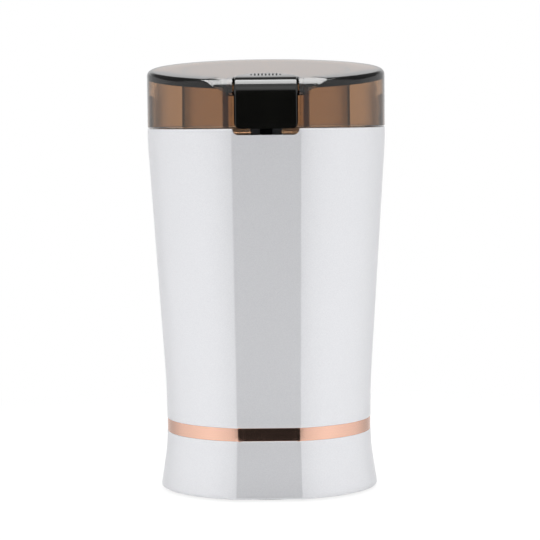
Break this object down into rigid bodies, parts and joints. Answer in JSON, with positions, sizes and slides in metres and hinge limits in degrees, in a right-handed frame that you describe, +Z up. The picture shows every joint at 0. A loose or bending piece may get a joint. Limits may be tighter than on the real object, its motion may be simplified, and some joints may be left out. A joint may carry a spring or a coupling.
{
  "type": "electric spice grinder",
  "caption": "Electric blade grinder for spices: waisted white body with a front facet, rose gold band, flared base, smoked lift-off lid and a push button in the lid.",
  "frame": {"origin": "on the motor shaft's axis, in the plane that the rubber foot ring stands on", "axes": "+Z up along the shaft; -Y is the front with the flat facet and the push button; +Y is the rear with the cord inlet; +X is the right-hand side seen from the front"},
  "size_m": [0.098, 0.0962, 0.1787],
  "materials": {
    "body_white": "white pearl gloss moulding",
    "rose_gold": "rose gold, finely brushed round the band",
    "lid_smoke": "clear smoked brown plastic",
    "button_black": "black high gloss",
    "deck_black": "black fine grain moulding",
    "plate_white": "off-white satin moulding",
    "bowl_steel": "spun stainless steel",
    "blade_steel": "ground stainless steel",
    "spring_steel": "drawn steel wire",
    "screw_zinc": "zinc plated",
    "rubber_black": "matt black rubber",
    "laminations": "stacked steel sheet",
    "bracket_steel": "pressed and coated steel",
    "copper": "enamelled copper wire",
    "bronze": "sintered bronze",
    "brass": "drawn brass",
    "carbon": "pressed carbon",
    "fan_nylon": "dark nylon",
    "switch_case": "dark thermoset",
    "capacitor_case": "yellow cast case"
  },
  "bodies": {
    "housing": {"body_shell": "body_white", "accent_band": "rose_gold", "base_shell": "body_white", "base_plate": "plate_white", "foot_ring": "rubber_black", "base_screws": "screw_zinc", "cord_inlet": "rubber_black", "top_deck": "deck_black", "deck_screws": "screw_zinc", "grinding_bowl": "bowl_steel", "bowl_gasket": "rubber_black", "shaft_seal": "rubber_black", "microswitch": "switch_case", "capacitor": "capacitor_case", "stator_core": "laminations", "field_coil_right": "copper", "field_coil_left": "copper", "upper_bracket": "bracket_steel", "lower_bracket": "bracket_steel", "upper_bearing": "bronze", "lower_bearing": "bronze", "motor_bolts": "screw_zinc", "motor_dampers": "rubber_black", "motor_screws": "screw_zinc", "brush_holder_right": "brass", "brush_holder_left": "brass", "carbon_brush_right": "carbon", "carbon_brush_left": "carbon", "brush_spring_right": "spring_steel", "brush_spring_left": "spring_steel"},
    "lid": {"lid_shell": "lid_smoke"},
    "button": {"lid_button": "button_black", "button_spring_left": "spring_steel", "button_spring_right": "spring_steel"},
    "pin": {"switch_pin": "button_black", "switch_plunger": "plate_white", "pin_spring": "spring_steel"},
    "rotor": {"blade": "blade_steel", "blade_spacer": "blade_steel", "blade_nut": "blade_steel", "motor_shaft": "blade_steel", "armature_core": "laminations", "armature_winding": "copper", "commutator": "copper", "cooling_fan": "fan_nylon"}
  },
  "joints": [
    {"name": "lid_lift", "type": "slide", "parent": "housing", "child": "lid", "axis": [0, 0, 1], "range_m": [0, 0.06]},
    {"name": "button_press", "type": "slide", "parent": "lid", "child": "button", "axis": [0, 0, -1], "range_m": [0, 0.002], "stiffness_N_per_m": 400, "springref_m": -0.003, "deforming": ["button_spring_left", "button_spring_right"]},
    {"name": "pin_travel", "type": "slide", "parent": "housing", "child": "pin", "axis": [0, 0, -1], "range_m": [0, 0.002], "stiffness_N_per_m": 150, "springref_m": -0.002, "deforming": ["pin_spring"]},
    {"name": "motor_spin", "type": "hinge", "parent": "housing", "child": "rotor", "pos_m": [0, 0, 0.1], "axis": [0, 0, 1], "continuous": true}
  ],
  "couplings": [
    {"joint": "pin_travel", "follows": "button_press", "ratio": 1}
  ]
}
